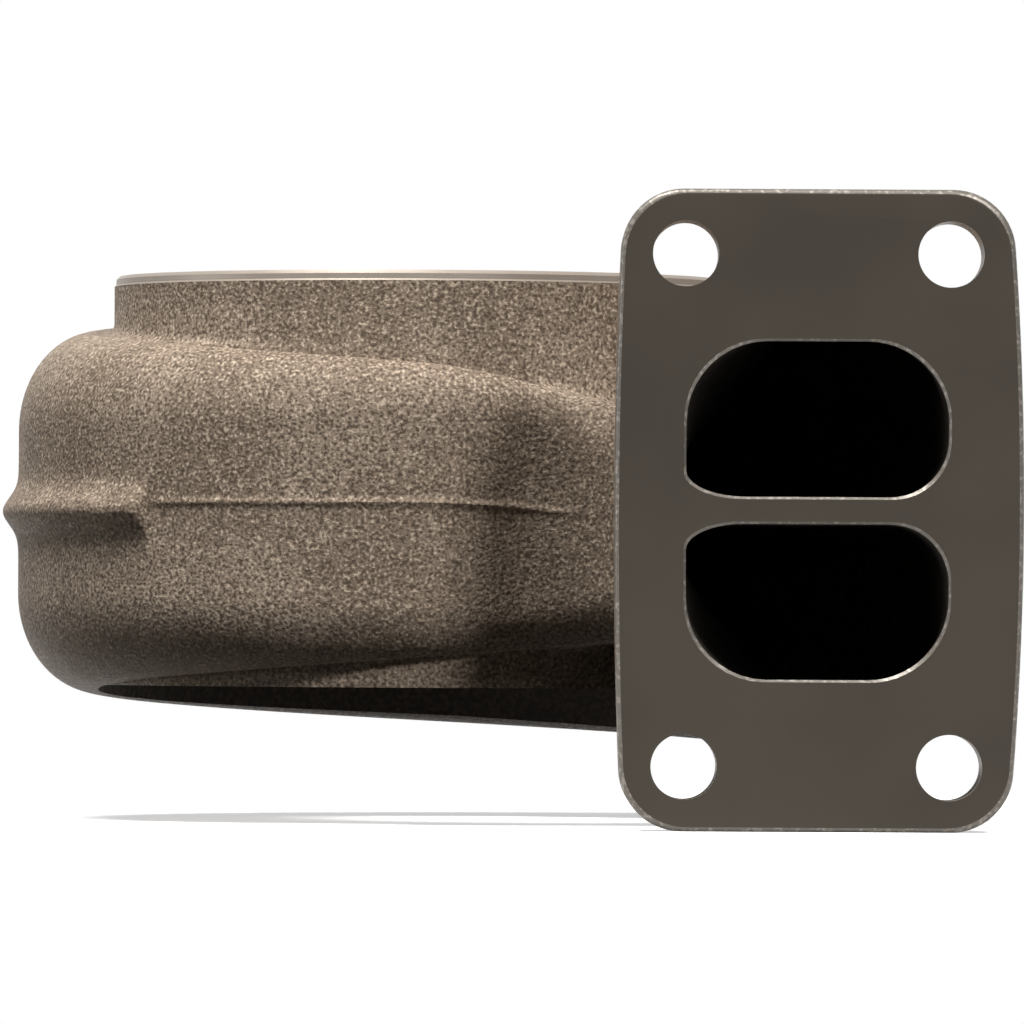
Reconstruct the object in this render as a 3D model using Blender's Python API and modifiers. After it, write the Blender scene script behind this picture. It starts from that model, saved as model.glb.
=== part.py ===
"""Turbine housing of a turbocharger, as one iron casting that is machined afterwards.

Gas enters at the flange through two ports, one above the other. The neck leads it along +Y, and
the two passages then wind round the turbine axis side by side, shrinking all the way to the tongue.

Frame, in metres: the origin is the middle of the inlet flange's face, on the bar between the ports.
The face looks along -Y. The turbine axis is parallel to Z, and the outlet ring is at the top.
Angles about the turbine axis start at +X and rise through +Y, the way the gas turns.
"""

import math

import bmesh
import bpy
from mathutils import Vector

# Inlet flange
STUD_SPACING_X = 0.0441
STUD_SPACING_Z = 0.0853
STUD_HOLE_DIAMETER = 0.0110
FLANGE_THICKNESS = 0.0145
FLANGE_EDGE = 0.0108
FLANGE_BULGE = 0.0015
FLANGE_BULGE_NEAR_AXIS = 0.0009
FLANGE_CORNER_RADIUS = 0.0105
FLANGE_FRONT_ROUNDING = 0.0010
FLANGE_BACK_ROUNDING = 0.0016

# Ports in the flange, one above the other
PORT_WIDTH = 0.0437
PORT_HEIGHT = 0.0259
DIVIDER = 0.0045
PORT_OUTER_CORNER = 0.0135
PORT_DIVIDER_CORNER = 0.0098
PORT_EDGE_CHAMFER = 0.0004

# Neck and volute
AXIS_X = -0.0670
AXIS_Y = 0.0980
WALL = 0.00515
NECK_ROOT_FILLET = 0.0040
VOLUTE_RISE = 0.0002
VOLUTE_HALF_HEIGHT_START = 0.0412
VOLUTE_HALF_HEIGHT_END = 0.0196
VOLUTE_SHOULDER_RADIUS = 0.0195
TONGUE_RADIUS = 0.0470
TONGUE_DEPTH = 0.00185
TONGUE_ANGLE = math.radians(333)
NECK_SIDE_FILLET = 0.0190
TAIL_SINK = 0.0124
CLOSING_DROP = 0.0046
CLOSING_START = math.radians(270)
CLOSING_END = math.radians(320)

# Rib along the parting line of the volute
BEAD_HEIGHT = 0.0029
BEAD_HALF_WIDTH = 0.0041
BEAD_START = math.radians(10)
BEAD_END = math.radians(224.5)
BEAD_RUN_IN = math.radians(17)
BEAD_BLUNT_END = math.radians(2.2)

# Rings at the two ends of the turbine axis
OUTLET_RING_RADIUS = 0.0533
OUTLET_FACE_Z = 0.0411
BEARING_RING_RADIUS = 0.0540
BEARING_FACE_Z = -0.0300
RING_FOOT_FILLET = 0.0020
RING_EDGE_CHAMFER = 0.0006
RING_BAND_HEIGHT = 0.0015
RING_BAND_DEPTH = 0.0003
FACING_MARGIN = 0.0018

# Room for the turbine wheel
OUTLET_BORE_RADIUS = 0.0360
OUTLET_FLARE_DEPTH = 0.0110
BORE_LAND = 0.0010
THROAT_RADIUS = 0.0305
WHEEL_RADIUS = 0.0370
SHROUD_RISE = 0.0090
NOZZLE_HALF_GAP = 0.0075
NOZZLE_DIVIDER = 0.0030
WHEEL_CLEARANCE = 0.0010
NOZZLE_LIP = 0.00615
BEARING_RING_WALL = 0.0120
REGISTER_DEPTH = 0.0058

# Tapped holes, at their core diameter
TAPPED_DIAMETER = 0.0068
OUTLET_TAPPED_COUNT = 4
OUTLET_TAPPED_DEPTH = 0.0100
OUTLET_TAPPED_FIRST = math.radians(45)
BEARING_TAPPED_COUNT = 6
BEARING_TAPPED_DEPTH = 0.0075
BEARING_TAPPED_FIRST = math.radians(30)

# Fineness of the curves
RING_STEPS = 64
HOLE_STEPS = 32
TAPPED_STEPS = 12
VOLUTE_STEP = math.radians(6)
PASSAGE_STEP = math.radians(11)

# How far a tool runs past the metal that it cuts, and how deep one form is sunk into another
OVERRUN = 0.0060
SINK = 0.0004

# Laws of the volute. The spiral eases out of the straight neck and comes to its end radius a
# little after the tongue. The outside goes on through the spread while it rounds the side fillet
LAW_END = math.radians(350)
SPIRAL_EASE = math.radians(8)
RADIUS_POWER = 1.28
HEIGHT_POWER = 1.15
TAIL_SPREAD = math.radians(55)

PASSAGE_INNER_RADIUS = TONGUE_RADIUS - TONGUE_DEPTH
PASSAGE_START_RADIUS = -AXIS_X + PORT_WIDTH / 2
HEAT_SHIELD_RADIUS = PASSAGE_INNER_RADIUS - NOZZLE_LIP
REGISTER_RADIUS = BEARING_RING_RADIUS - BEARING_RING_WALL
NECK_HALF_WIDTH = PORT_WIDTH / 2 + WALL
NECK_HALF_HEIGHT = DIVIDER / 2 + PORT_HEIGHT + WALL
NECK_CORNER = PORT_OUTER_CORNER + WALL
CORE_RADIUS = PASSAGE_INNER_RADIUS - WALL


def clear_scene():
    for obj in list(bpy.data.objects):
        bpy.data.objects.remove(obj, do_unlink=True)


def make_collection(name):
    collection = bpy.data.collections.new(name)
    bpy.context.scene.collection.children.link(collection)
    return collection


def cast_iron():
    material = bpy.data.materials.new("cast_iron")
    material.use_nodes = True
    shader = material.node_tree.nodes["Principled BSDF"]
    shader.inputs["Base Color"].default_value = (0.115, 0.088, 0.067, 1)
    shader.inputs["Roughness"].default_value = 0.55
    shader.inputs["Metallic"].default_value = 0.75
    return material


def add_mesh(name, bm, collection):
    bmesh.ops.recalc_face_normals(bm, faces=bm.faces)
    mesh = bpy.data.meshes.new(name)
    bm.to_mesh(mesh)
    bm.free()
    obj = bpy.data.objects.new(name, mesh)
    collection.objects.link(obj)
    return obj


def loft(name, rings, collection):
    """A closed body through rings of equally many points, with a flat cap at each end."""
    bm = bmesh.new()
    rows = [[bm.verts.new(point) for point in ring] for ring in rings]
    count = len(rows[0])
    for row, following in zip(rows, rows[1:]):
        for i in range(count):
            j = (i + 1) % count
            bm.faces.new((row[i], row[j], following[j], following[i]))
    bm.faces.new(rows[0])
    bm.faces.new(reversed(rows[-1]))
    return add_mesh(name, bm, collection)


def turned(name, profile, collection):
    """A profile of (radius, height) from the top of the turbine axis to its bottom, turned round."""
    bm = bmesh.new()
    verts = [bm.verts.new((radius, 0, height)) for radius, height in profile]
    for upper, lower in zip(verts, verts[1:]):
        bm.edges.new((upper, lower))
    obj = add_mesh(name, bm, collection)
    obj.location = (AXIS_X, AXIS_Y, 0)
    screw = obj.modifiers.new("Turn", "SCREW")
    screw.axis = "Z"
    screw.angle = math.tau
    screw.steps = RING_STEPS
    screw.render_steps = RING_STEPS
    screw.use_merge_vertices = True
    screw.merge_threshold = 0.00001
    return obj


def cylinders(name, ends, diameter, steps, collection):
    """One body of separate round pins, each given by the middle points of its two ends."""
    bm = bmesh.new()
    for start, end in ends:
        axis = end - start
        turn = axis.to_track_quat("Z", "Y").to_matrix().to_4x4()
        turn.translation = (start + end) / 2
        bmesh.ops.create_cone(bm, cap_ends=True, segments=steps, radius1=diameter / 2,
                              radius2=diameter / 2, depth=axis.length, matrix=turn)
    return add_mesh(name, bm, collection)


def smooth_step(t):
    t = min(max(t, 0.0), 1.0)
    return t * t * (3 - 2 * t)


def mix(a, b, t):
    return a + (b - a) * t


def heading(angle):
    return math.cos(angle), math.sin(angle)


def on_axis_circle(radius, angle):
    """The plan position at this radius and angle from the turbine axis."""
    return AXIS_X + radius * math.cos(angle), AXIS_Y + radius * math.sin(angle)


# Law of the volute

def passage_radius(angle):
    wound = angle - SPIRAL_EASE * (1 - math.exp(-angle / SPIRAL_EASE))
    left = max(0.0, 1 - wound / LAW_END)
    return TONGUE_RADIUS + (PASSAGE_START_RADIUS - TONGUE_RADIUS) * left ** RADIUS_POWER


def outer_radius(angle):
    return passage_radius(angle) + WALL


def closing(angle):
    """How far the top drops, over the last stretch, on its way down the side of the neck."""
    return CLOSING_DROP * smooth_step((angle - CLOSING_START) / (CLOSING_END - CLOSING_START))


def half_height(angle):
    fall = (angle / LAW_END) ** HEIGHT_POWER
    return mix(VOLUTE_HALF_HEIGHT_START, VOLUTE_HALF_HEIGHT_END, fall) - closing(angle) / 2


def middle_height(angle):
    return VOLUTE_RISE - closing(angle) / 2


def shoulder(reach):
    """How far the rounded shoulder takes in from the side and from the top, for a wall that
    stands this far out from the outlet ring. It is never sharper than half of the wall."""
    reach = max(reach, WALL / 2)
    across = VOLUTE_SHOULDER_RADIUS * math.tanh(reach / VOLUTE_SHOULDER_RADIUS)
    down = VOLUTE_SHOULDER_RADIUS * math.tanh(1.6 * reach / VOLUTE_SHOULDER_RADIUS)
    return across, down


# Outside of the neck and volute. A station is a wall point in plan, the plan direction from it
# into the metal, and a section of (depth behind the wall, height).

def depth_to_ring(wall, inward, radius):
    """Depth at which the way inward from a wall point meets a ring about the turbine axis."""
    x, y = wall[0] - AXIS_X, wall[1] - AXIS_Y
    along = x * inward[0] + y * inward[1]
    under_root = along * along - (x * x + y * y - radius * radius)
    if under_root <= 0:
        return None
    return -along - math.sqrt(under_root)


def side_profile(bead, straight):
    """Depths and heights up the straight side, with the rib in its middle."""
    shares = (-1.6, -1.05, -0.72, -0.37, 0, 0.37, 0.72, 1.05, 1.6)
    half_width = min(BEAD_HALF_WIDTH, straight / 1.8)
    return [(-bead * math.exp(-(s * 1.25) ** 2), s * half_width) for s in shares]


def top_profile(height, across, down, crown, depth, drop, ring_depth):
    """Points from the top of the straight side, over the shoulder and the crown, to the inner
    end. Where the metal meets a ring, a small fillet climbs it."""
    points = []
    for step in range(6):
        turn = math.radians(18 * step)
        points.append((across * (1 - math.cos(turn)), height - down * (1 - math.sin(turn))))

    def surface(d):
        share = min(1.0, max(0.0, (d - crown) / (depth - crown)))
        return height - drop * (1 - math.sqrt(max(0.0, 1 - share * share)))

    fillet = RING_FOOT_FILLET
    if ring_depth is not None and ring_depth - fillet > crown * 0.6 and ring_depth + fillet < depth:
        lower_end = height - drop
        climb = [(1.0, 0.0), (0.5, 0.134), (0.13, 0.507), (-0.3, 1.3)]
        for before, rise in climb:
            d = max(ring_depth - before * fillet, points[-1][0] + 0.0002)
            points.append((d, surface(d) + rise * fillet))
        points.append((ring_depth + 0.9 * fillet, points[-1][1]))
        points.append((depth, lower_end))
    else:
        for step in range(1, 7):
            turn = math.radians(15 * step)
            points.append((mix(crown, depth, math.sin(turn)),
                           height - drop * (1 - math.cos(turn))))
    return points


def outside_ring(wall, inward, rise, height, corner, crown, depth, drop, bead=0.0):
    """One closed ring of points: side, upper half, and the same lower half upside down. The
    fall to the inner end is limited by the height there is."""
    across, down = corner
    drop = min(drop, 0.85 * height)
    tops = top_profile(height, across, down, crown, depth, drop,
                       depth_to_ring(wall, inward, OUTLET_RING_RADIUS))
    bottoms = top_profile(height, across, down, crown, depth, drop,
                          depth_to_ring(wall, inward, BEARING_RING_RADIUS))
    section = side_profile(bead, height - down) + tops + [(d, -z) for d, z in reversed(bottoms)]
    return [(wall[0] + d * inward[0], wall[1] + d * inward[1], rise + z) for d, z in section]


def neck_rings():
    """From inside the flange, along the straight neck, to the start of the volute."""
    places = [(FLANGE_THICKNESS * 0.6, NECK_ROOT_FILLET)]
    for step in range(5):
        turn = math.radians(22.5 * step)
        places.append((FLANGE_THICKNESS + NECK_ROOT_FILLET * (1 - math.cos(turn)),
                       NECK_ROOT_FILLET * (1 - math.sin(turn))))
    first = FLANGE_THICKNESS + NECK_ROOT_FILLET
    steps = 9
    places += [(mix(first, AXIS_Y, step / steps), 0.0) for step in range(1, steps)]
    start_corner = shoulder(outer_radius(0) - OUTLET_RING_RADIUS)
    start_crown = volute_crown(0, start_corner[0])
    rings = []
    for y, swell in places:
        share = smooth_step((y - first) / (AXIS_Y - first))
        width = mix(2 * NECK_HALF_WIDTH, outer_radius(0) - CORE_RADIUS, share)
        height = mix(NECK_HALF_HEIGHT, VOLUTE_HALF_HEIGHT_START, share) + swell
        corner = (mix(NECK_CORNER, start_corner[0], share), mix(NECK_CORNER, start_corner[1], share))
        crown = mix(width - NECK_CORNER, start_crown, share)
        rings.append(outside_ring((NECK_HALF_WIDTH + swell, y), (-1, 0), VOLUTE_RISE * share, height,
                                  corner, crown + swell, width + 2 * swell, NECK_CORNER))
    return rings


def volute_crown(angle, across):
    """Depth behind the wall at which the volute starts to fall towards the outlet ring."""
    return max(across, outer_radius(angle) - OUTLET_RING_RADIUS - 0.6 * VOLUTE_SHOULDER_RADIUS)


def bead_height(angle):
    if not BEAD_START < angle < BEAD_END:
        return 0.0
    into_end = max(0.0, 1 - (BEAD_END - angle) / BEAD_BLUNT_END)
    run_in = smooth_step((angle - BEAD_START) / BEAD_RUN_IN)
    return BEAD_HEIGHT * run_in * math.sqrt(1 - into_end ** 2)


def side_fillet():
    """Middle of the round corner between the volute's near side and the neck's side, and the
    angle about the turbine axis at which the volute runs into it."""
    middle_x = -NECK_HALF_WIDTH + SINK - NECK_SIDE_FILLET
    meets = CLOSING_START
    for _ in range(4):
        apart = outer_radius(meets) + NECK_SIDE_FILLET
        away = math.sqrt(apart ** 2 - (middle_x - AXIS_X) ** 2)
        meets = math.tau + math.atan2(-away, middle_x - AXIS_X)
    return (middle_x, AXIS_Y - away), meets


def volute_angles(last):
    """Even steps round the axis, closer together at the blunt end of the rib."""
    count = round(last / VOLUTE_STEP)
    angles = [last * step / count for step in range(count + 1)]
    blunt = [BEAD_END - share * BEAD_BLUNT_END for share in (1.0, 0.5, 0.18, 0.02, -0.02)]
    apart = VOLUTE_STEP / 4
    kept = [a for a in angles if not blunt[0] - apart < a < blunt[-1] + apart]
    return sorted(kept + blunt)


def volute_rings(last):
    rings = []
    for angle in volute_angles(last):
        radius = outer_radius(angle)
        corner = shoulder(radius - OUTLET_RING_RADIUS)
        outward = heading(angle)
        rings.append(outside_ring(on_axis_circle(radius, angle), (-outward[0], -outward[1]),
                                  middle_height(angle), half_height(angle), corner,
                                  volute_crown(angle, corner[0]), radius - CORE_RADIUS, NECK_CORNER,
                                  bead_height(angle)))
    return rings


def tail_rings(middle, last):
    """The end of the volute sweeps round the middle of the side fillet and into the neck."""
    turn_start = last - math.pi
    depth_start = outer_radius(last) - CORE_RADIUS
    reach_start = outer_radius(last) - OUTLET_RING_RADIUS
    steps = 8
    rings = []
    for step in range(1, steps + 1):
        share = step / steps
        outward = heading(turn_start * (1 - share))
        wall = (middle[0] + NECK_SIDE_FILLET * outward[0], middle[1] + NECK_SIDE_FILLET * outward[1])
        law_angle = last + share * TAIL_SPREAD
        corner = shoulder(mix(reach_start, 2 * reach_start, share))
        depth = depth_start + min(1.0, 3 * share) * TAIL_SINK
        rings.append(outside_ring(wall, outward, middle_height(law_angle), half_height(law_angle),
                                  corner, corner[0], depth, NECK_CORNER))
    return rings


def outside_skin(collection):
    middle, last = side_fillet()
    rings = neck_rings() + volute_rings(last) + tail_rings(middle, last)
    return loft("turbine_housing", rings, collection)


# Rings and flange

def turned_core(collection):
    """The outlet ring above and the ring for the bearing housing below, solid until it is bored."""
    stock = OVERRUN / 2
    rim = OUTLET_RING_RADIUS - RING_BAND_DEPTH
    band_end = OUTLET_FACE_Z - RING_BAND_HEIGHT
    profile = [
        (0, OUTLET_FACE_Z),
        (rim - RING_EDGE_CHAMFER, OUTLET_FACE_Z),
        (rim, OUTLET_FACE_Z - RING_EDGE_CHAMFER),
        (rim, band_end),
        (OUTLET_RING_RADIUS, band_end - RING_BAND_DEPTH),
        (OUTLET_RING_RADIUS, 0),
        (BEARING_RING_RADIUS, -RING_BAND_HEIGHT),
        (BEARING_RING_RADIUS, BEARING_FACE_Z - stock),
        (0, BEARING_FACE_Z - stock),
    ]
    return turned("core", profile, collection)


def flange_quarter(inset, bulge):
    """Points of (x, z) from the middle of one side, round the corner, to the top or bottom edge."""
    half_height_here = STUD_SPACING_Z / 2 + FLANGE_EDGE - inset
    half_width = STUD_SPACING_X / 2 + FLANGE_EDGE + bulge - inset
    corner = FLANGE_CORNER_RADIUS
    bow_radius = (STUD_SPACING_Z / 2) ** 2 / (2 * bulge)
    lean = math.asin((half_height_here - corner) / bow_radius)
    side_end = half_height_here - corner * (1 - math.sin(lean))
    centre_x = half_width - side_end ** 2 / (2 * bow_radius) - corner * math.cos(lean)
    centre_z = half_height_here - corner
    points = [(half_width - (side_end * t) ** 2 / (2 * bow_radius), side_end * t)
              for t in (0.0, 0.34, 0.67)]
    for step in range(7):
        turn = mix(lean, math.pi / 2, step / 6)
        points.append((centre_x + corner * math.cos(turn), centre_z + corner * math.sin(turn)))
    return points


def flange_outline(inset):
    """The whole way round: flat top and bottom, bowed sides, the straighter one by the axis."""
    away = flange_quarter(inset, FLANGE_BULGE)
    near = [(-x, z) for x, z in flange_quarter(inset, FLANGE_BULGE_NEAR_AXIS)]
    lower_near = [(x, -z) for x, z in near[1:]]
    lower_away = [(x, -z) for x, z in reversed(away[1:])]
    return away + near[::-1] + lower_near + lower_away


def flange(collection):
    front, back, end = FLANGE_FRONT_ROUNDING, FLANGE_BACK_ROUNDING, FLANGE_THICKNESS
    layers = [
        (0.0, front),
        (front, front * 0.3),
        (3 * front, 0.0),
        (end - back, 0.0),
        (end - back * 0.3, back * 0.3),
        (end, back),
    ]
    rings = [[(x, y, z) for x, z in flange_outline(inset)] for y, inset in layers]
    return loft("flange", rings, collection)


# Gas passages. A corner is (depth, height, cut along the edge before it, cut along the one after).

def round_corner(before, corner, after, cuts, samples):
    """Points of a soft corner, from one cut length before it to another after it."""
    def towards(target, distance):
        dx, dz = target[0] - corner[0], target[1] - corner[1]
        length = math.hypot(dx, dz)
        return corner[0] + dx / length * distance, corner[1] + dz / length * distance

    start, end = towards(before, cuts[0]), towards(after, cuts[1])
    near_start, near_end = towards(before, cuts[0] * 0.45), towards(after, cuts[1] * 0.45)
    points = []
    for step in range(samples):
        t = step / (samples - 1)
        weights = ((1 - t) ** 3, 3 * t * (1 - t) ** 2, 3 * t * t * (1 - t), t ** 3)
        handles = (start, near_start, near_end, end)
        points.append(tuple(sum(w * p[k] for w, p in zip(weights, handles)) for k in (0, 1)))
    return points


def round_polygon(corners, samples):
    """A closed outline with soft corners, whose cuts shrink where an edge is too short for them."""
    count = len(corners)
    cuts = [[c[2], c[3]] for c in corners]
    for i in range(count):
        j = (i + 1) % count
        length = math.hypot(corners[j][0] - corners[i][0], corners[j][1] - corners[i][1])
        wanted = cuts[i][1] + cuts[j][0]
        if wanted > 0.96 * length:
            cuts[i][1] *= 0.96 * length / wanted
            cuts[j][0] *= 0.96 * length / wanted
    outline = []
    for i in range(count):
        outline += round_corner(corners[i - 1][:2], corners[i][:2], corners[(i + 1) % count][:2],
                                cuts[i], samples[i])
    return outline


def passage_section(width, top, share, corner, widen=0.0):
    """Half of the twin passage, above the divider. The share runs from 0 at the port, where it is
    a rounded rectangle, to 1 in the volute, where it narrows towards the turbine wheel."""
    low = DIVIDER / 2 - widen
    high = top + widen
    outer, inner = -widen, width + widen
    knee = mix(inner, 0.5 * inner, share)
    lip = mix(low, high, 0.22)
    divider_corner = mix(PORT_DIVIDER_CORNER, 0.75 * PORT_DIVIDER_CORNER, share)
    inner_corner = mix(PORT_OUTER_CORNER, 0.65 * PORT_OUTER_CORNER, share)
    lip_corner = mix(PORT_DIVIDER_CORNER, 0.15 * PORT_DIVIDER_CORNER, share)
    corners = [
        (outer, low, divider_corner, divider_corner),
        (outer, high, corner[1], corner[0]),
        (knee, high, inner_corner, inner_corner),
        (inner, lip, WALL / 2, WALL / 2),
        (inner, low, lip_corner, lip_corner),
    ]
    return round_polygon(corners, (5, 6, 4, 2, 4))


def passage(side, collection):
    """One gas passage from in front of the flange to the tongue: side is 1 above, -1 below."""
    stations = []
    port_corner = (PORT_OUTER_CORNER, PORT_OUTER_CORNER)
    start_corner = passage_corner(0)
    port_top = DIVIDER / 2 + PORT_HEIGHT
    start_top = half_height(0) - WALL
    straight = 6
    places = [(-OVERRUN, PORT_EDGE_CHAMFER), (0.0, PORT_EDGE_CHAMFER), (PORT_EDGE_CHAMFER, 0.0)]
    places += [(AXIS_Y * step / straight, 0.0) for step in range(1, straight)]
    for y, widen in places:
        share = smooth_step(y / AXIS_Y)
        corner = [mix(p, s, share) for p, s in zip(port_corner, start_corner)]
        width = mix(PORT_WIDTH, PASSAGE_START_RADIUS - PASSAGE_INNER_RADIUS, share)
        section = passage_section(width, mix(port_top, start_top, share), share, corner, widen)
        stations.append(((PORT_WIDTH / 2, y), (-1, 0), share * VOLUTE_RISE, section))
    count = round(TONGUE_ANGLE / PASSAGE_STEP)
    for step in range(count + 1):
        angle = TONGUE_ANGLE * step / count
        radius = passage_radius(angle)
        outward = heading(angle)
        section = passage_section(radius - PASSAGE_INNER_RADIUS, half_height(angle) - WALL, 1.0,
                                  passage_corner(angle))
        stations.append((on_axis_circle(radius, angle), (-outward[0], -outward[1]),
                         middle_height(angle), section))
    rings = [[(wall[0] + d * inward[0], wall[1] + d * inward[1], rise + side * z)
              for d, z in section] for wall, inward, rise, section in stations]
    return loft("passage_above" if side > 0 else "passage_below", rings, collection)


def passage_corner(angle):
    across, down = shoulder(outer_radius(angle) - OUTLET_RING_RADIUS)
    least = WALL / 2
    return max(across - WALL, least), max(down - WALL, least)


# Machining

def wheel_room(collection):
    """One turned cutter: outlet flare, throat, shroud, the divided nozzle and the bearing side."""
    nozzle_depth = PASSAGE_INNER_RADIUS + 0.6 * WALL
    flare_end = OUTLET_FACE_Z - OUTLET_FLARE_DEPTH
    nozzle_top = VOLUTE_RISE + NOZZLE_HALF_GAP
    nozzle_bottom = VOLUTE_RISE - NOZZLE_HALF_GAP
    flare_start = OUTLET_FACE_Z - BORE_LAND
    divider_radius = WHEEL_RADIUS + WHEEL_CLEARANCE
    profile = [(0, OUTLET_FACE_Z + OVERRUN), (OUTLET_BORE_RADIUS, OUTLET_FACE_Z + OVERRUN),
               (OUTLET_BORE_RADIUS, flare_start)]
    profile += [(mix(OUTLET_BORE_RADIUS, THROAT_RADIUS, smooth_step(t)),
                 mix(flare_start, flare_end, t)) for t in (0.5, 1.0)]
    for step in range(4):
        turn = math.radians(30 * step)
        profile.append((mix(THROAT_RADIUS, WHEEL_RADIUS, 1 - math.cos(turn)),
                        nozzle_top + SHROUD_RISE * (1 - math.sin(turn))))
    profile += [
        (nozzle_depth, nozzle_top),
        (nozzle_depth, VOLUTE_RISE + NOZZLE_DIVIDER / 2),
        (divider_radius, VOLUTE_RISE + NOZZLE_DIVIDER / 2),
        (divider_radius, VOLUTE_RISE - NOZZLE_DIVIDER / 2),
        (nozzle_depth, VOLUTE_RISE - NOZZLE_DIVIDER / 2),
        (nozzle_depth, nozzle_bottom),
        (HEAT_SHIELD_RADIUS, nozzle_bottom),
        (HEAT_SHIELD_RADIUS, BEARING_FACE_Z + REGISTER_DEPTH),
        (REGISTER_RADIUS, BEARING_FACE_Z + REGISTER_DEPTH),
        (REGISTER_RADIUS, BEARING_FACE_Z - OVERRUN),
        (0, BEARING_FACE_Z - OVERRUN),
    ]
    return turned("wheel_room", profile, collection)


def bearing_side_facing(collection):
    """Faces the lower ring, and cuts a round step into the volute where that hangs lower."""
    radius = BEARING_RING_RADIUS + FACING_MARGIN
    deepest = -VOLUTE_HALF_HEIGHT_START - OVERRUN
    profile = [(0, BEARING_FACE_Z), (radius, BEARING_FACE_Z), (radius, deepest), (0, deepest)]
    return turned("bearing_side_facing", profile, collection)


def stud_holes(collection):
    ends = [(Vector((x, -OVERRUN, z)), Vector((x, FLANGE_THICKNESS + OVERRUN, z)))
            for x in (-STUD_SPACING_X / 2, STUD_SPACING_X / 2)
            for z in (-STUD_SPACING_Z / 2, STUD_SPACING_Z / 2)]
    return cylinders("stud_holes", ends, STUD_HOLE_DIAMETER, HOLE_STEPS, collection)


def tapped_holes(name, count, first, circle, face, depth, collection):
    """Blind holes on a circle about the turbine axis. A positive depth goes up from the face."""
    outside = face - math.copysign(OVERRUN, depth)
    ends = []
    for step in range(count):
        x, y = on_axis_circle(circle, first + math.tau * step / count)
        ends.append((Vector((x, y, outside)), Vector((x, y, face + depth))))
    return cylinders(name, ends, TAPPED_DIAMETER, TAPPED_STEPS, collection)


def combine(body, operation, other, self_crossing=False):
    other.hide_render = True
    other.display_type = "WIRE"
    boolean = body.modifiers.new(other.name, "BOOLEAN")
    boolean.operation = operation
    boolean.solver = "EXACT"
    boolean.use_self = self_crossing
    boolean.object = other


def main():
    clear_scene()
    parts = make_collection("turbine_housing")
    tools = make_collection("cutters")
    body = outside_skin(parts)
    body.data.materials.append(cast_iron())
    combine(body, "UNION", turned_core(tools), self_crossing=True)
    combine(body, "UNION", flange(tools))
    combine(body, "DIFFERENCE", bearing_side_facing(tools))
    combine(body, "DIFFERENCE", passage(1, tools))
    combine(body, "DIFFERENCE", passage(-1, tools))
    combine(body, "DIFFERENCE", wheel_room(tools))
    combine(body, "DIFFERENCE", stud_holes(tools))
    combine(body, "DIFFERENCE", tapped_holes(
        "outlet_tapped_holes", OUTLET_TAPPED_COUNT, OUTLET_TAPPED_FIRST,
        (OUTLET_BORE_RADIUS + OUTLET_RING_RADIUS) / 2, OUTLET_FACE_Z, -OUTLET_TAPPED_DEPTH, tools))
    combine(body, "DIFFERENCE", tapped_holes(
        "bearing_tapped_holes", BEARING_TAPPED_COUNT, BEARING_TAPPED_FIRST,
        (REGISTER_RADIUS + BEARING_RING_RADIUS) / 2, BEARING_FACE_Z, BEARING_TAPPED_DEPTH, tools))
    body.data.shade_smooth()
    body.data.set_sharp_from_angle(angle=math.radians(35))


main()
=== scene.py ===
# %% [markdown]
# # A turbocharger's turbine housing
# The real part is one iron casting. Exhaust gas comes in at a rectangular flange through two
# ports, runs along a straight neck, and winds round the turbine wheel in two passages that shrink
# all the way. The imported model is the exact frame, and this file gives it its finished surface.

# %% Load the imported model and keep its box
import math

import bpy
import numpy as np
from mathutils import Matrix, Vector


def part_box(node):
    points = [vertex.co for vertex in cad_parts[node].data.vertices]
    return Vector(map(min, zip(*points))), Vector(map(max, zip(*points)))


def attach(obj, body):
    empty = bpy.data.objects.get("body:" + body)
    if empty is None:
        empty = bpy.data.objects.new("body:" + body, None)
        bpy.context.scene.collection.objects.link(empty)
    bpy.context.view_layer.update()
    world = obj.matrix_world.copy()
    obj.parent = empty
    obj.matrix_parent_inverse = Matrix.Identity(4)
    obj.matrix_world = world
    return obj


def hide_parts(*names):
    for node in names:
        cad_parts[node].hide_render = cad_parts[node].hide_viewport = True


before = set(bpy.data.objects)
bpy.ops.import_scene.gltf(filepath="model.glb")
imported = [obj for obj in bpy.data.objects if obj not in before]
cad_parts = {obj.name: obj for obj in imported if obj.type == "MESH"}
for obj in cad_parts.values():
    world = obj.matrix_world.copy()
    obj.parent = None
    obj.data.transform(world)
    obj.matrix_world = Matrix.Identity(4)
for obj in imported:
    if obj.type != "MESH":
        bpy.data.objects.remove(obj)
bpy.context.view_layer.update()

scene = bpy.context.scene
lowest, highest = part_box("turbine_housing")
print("packed casting, mm:", [round(1000 * (b - a), 1) for a, b in zip(lowest, highest)])

# %% [markdown]
# ## The camera
# A product picture like this is taken from far away with a long lens, so that the flange stays a
# true rectangle. The distance was worked out from how much smaller the far bolt hole rims look
# than the near ones, and the height from the line where flat faces are seen edge-on.

# %% Camera at the photograph's viewing angle
CAMERA_AT = Vector((-0.0506, -1.940, -0.0197))
FOCAL_PIXELS = 11680
FRAME_PIXELS = 1024
HORIZON_ROW = 627.6
TILT_UP = math.atan((HORIZON_ROW - FRAME_PIXELS / 2) / FOCAL_PIXELS)
TURN_LEFT = 1.0 / FOCAL_PIXELS
ROLL = math.radians(0.30)

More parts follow.
